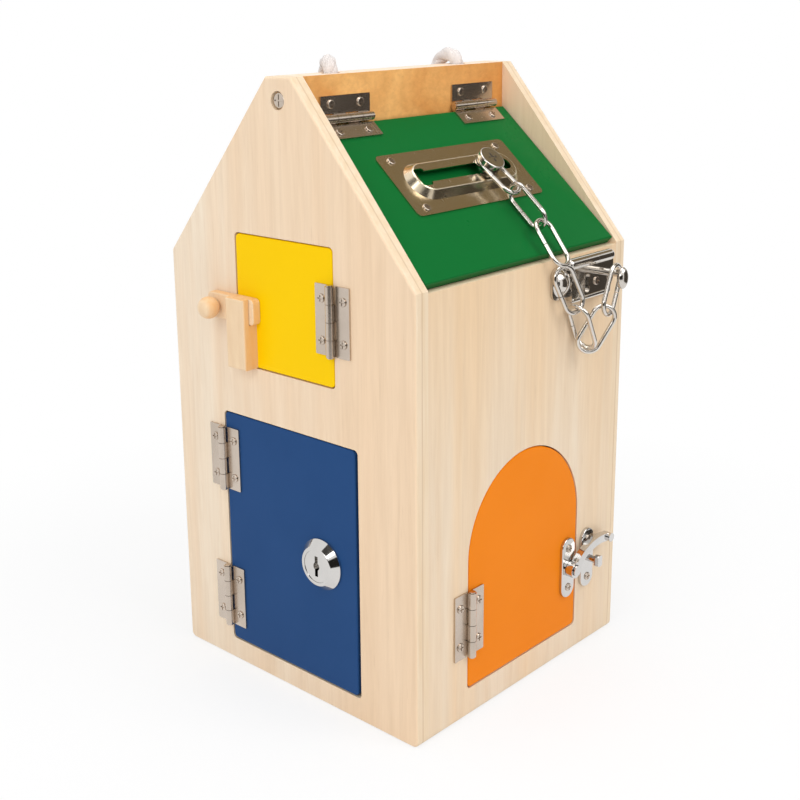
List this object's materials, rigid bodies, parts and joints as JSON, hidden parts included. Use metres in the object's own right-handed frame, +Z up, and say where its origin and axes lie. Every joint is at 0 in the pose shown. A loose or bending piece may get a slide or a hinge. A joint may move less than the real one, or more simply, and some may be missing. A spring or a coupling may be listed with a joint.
{
  "type": "wooden lock house",
  "caption": "Wooden toy house with hinged doors and a roof lid, each closed by a different lock: drop bar, cam lock, swing hook and sliding door chain, with a rope handle.",
  "frame": {"origin": "middle of the house's flat underside", "axes": "+X along the ridge, from the gable with two doors towards the plain gable; -Y out of the front wall with the arched door; +Z up"},
  "size_m": [0.1974, 0.2014, 0.3443],
  "materials": {
    "ply": "satin birch plywood",
    "ridge_wood": "oiled orange-brown wood",
    "latch_wood": "bare turned beech",
    "green_paint": "glossy green paint on wood",
    "yellow_paint": "glossy yellow paint on wood",
    "blue_paint": "satin blue paint on wood",
    "orange_paint": "glossy orange paint on wood",
    "nickel": "nickel-plated steel",
    "chrome": "polished chrome",
    "dark_steel": "dark nickel-plated steel",
    "rope": "soft white cotton rope"
  },
  "bodies": {
    "house": {"gable_left": "ply", "gable_right": "ply", "front_wall": "ply", "back_wall": "ply", "floor_board": "ply", "shelf_board": "ply", "ridge_board": "ridge_wood", "ridge_screws": "nickel", "back_roof_board": "ply", "rope_handle": "rope", "rope_knots": "rope", "latch_peg": "latch_wood", "yellow_hinge_wall_leaf": "nickel", "yellow_hinge_pin": "nickel", "yellow_hinge_wall_screws": "nickel", "blue_hinge_wall_leaf": "nickel", "blue_hinge_pin": "nickel", "blue_hinge_wall_screws": "nickel", "orange_hinge_wall_leaf": "nickel", "orange_hinge_pin": "nickel", "orange_hinge_wall_screws": "nickel", "lid_hinge_ridge_leaf": "nickel", "lid_hinge_pin": "nickel", "lid_hinge_ridge_screws": "nickel", "hook_strike_plate": "chrome", "hook_strike_screws": "nickel", "chain_bracket": "chrome", "chain_bracket_screws": "nickel", "chain_stud": "chrome", "chain_links_lower": "nickel"},
    "yellow_door": {"yellow_door_panel": "yellow_paint", "yellow_hinge_door_leaf": "nickel", "yellow_hinge_door_screws": "nickel", "latch_catch": "latch_wood"},
    "drop_bar": {"latch_bar": "latch_wood"},
    "blue_door": {"blue_door_panel": "blue_paint", "blue_hinge_door_leaf": "nickel", "blue_hinge_door_screws": "nickel", "lock_housing": "chrome", "lock_nut": "nickel"},
    "lock_core": {"lock_plug": "chrome", "lock_cam": "nickel", "cam_screw": "nickel"},
    "orange_door": {"orange_door_panel": "orange_paint", "orange_hinge_door_leaf": "nickel", "orange_hinge_door_screws": "nickel", "hook_base_plate": "chrome", "hook_base_screws": "nickel"},
    "swing_arm": {"hook_arm": "chrome"},
    "lid": {"lid_panel": "green_paint", "lid_hinge_lid_leaf": "nickel", "lid_hinge_lid_screws": "nickel", "slot_plate": "dark_steel", "slot_plate_screws": "nickel"},
    "sliding_head": {"chain_head": "dark_steel", "chain_links_upper": "nickel"},
    "loose_links": {"chain_links_middle": "nickel"}
  },
  "joints": [
    {"name": "yellow_door_swing", "type": "hinge", "parent": "house", "child": "yellow_door", "pos_m": [-0.09265, -0.03608, 0.2167], "axis": [0, 0, 1], "range_deg": [0, 105]},
    {"name": "drop_bar_turn", "type": "hinge", "parent": "house", "child": "drop_bar", "pos_m": [-0.0927, 0.04655, 0.213], "axis": [-1, 0, 0], "range_deg": [0, 100]},
    {"name": "blue_door_swing", "type": "hinge", "parent": "house", "child": "blue_door", "pos_m": [-0.09265, 0.05033, 0.08275], "axis": [0, 0, -1], "range_deg": [0, 105]},
    {"name": "lock_turn", "type": "hinge", "parent": "blue_door", "child": "lock_core", "pos_m": [-0.094, -0.0244, 0.08255], "axis": [-1, 0, 0], "range_deg": [0, 90]},
    {"name": "orange_door_swing", "type": "hinge", "parent": "house", "child": "orange_door", "pos_m": [-0.04933, -0.09265, 0.0553], "axis": [0, 0, -1], "range_deg": [0, 105]},
    {"name": "swing_arm_turn", "type": "hinge", "parent": "orange_door", "child": "swing_arm", "pos_m": [0.0396, -0.0952, 0.0558], "axis": [0, -1, 0], "range_deg": [-14, 90]},
    {"name": "lid_swing", "type": "hinge", "parent": "house", "child": "lid", "pos_m": [0, -0.0119, 0.31268], "axis": [-1, 0, 0], "range_deg": [0, 135]},
    {"name": "head_slide", "type": "slide", "parent": "lid", "child": "sliding_head", "axis": [-1, 0, 0], "range_m": [-0.018, 0.051]},
    {"name": "loose_links_drop", "type": "hinge", "parent": "house", "child": "loose_links", "pos_m": [0.04207, -0.09796, 0.18801], "axis": [0, -1, 0], "range_deg": [0, 163]}
  ],
  "couplings": [
    {"joint": "loose_links_drop", "follows": "lid_swing", "ratio": 1.2074}
  ]
}
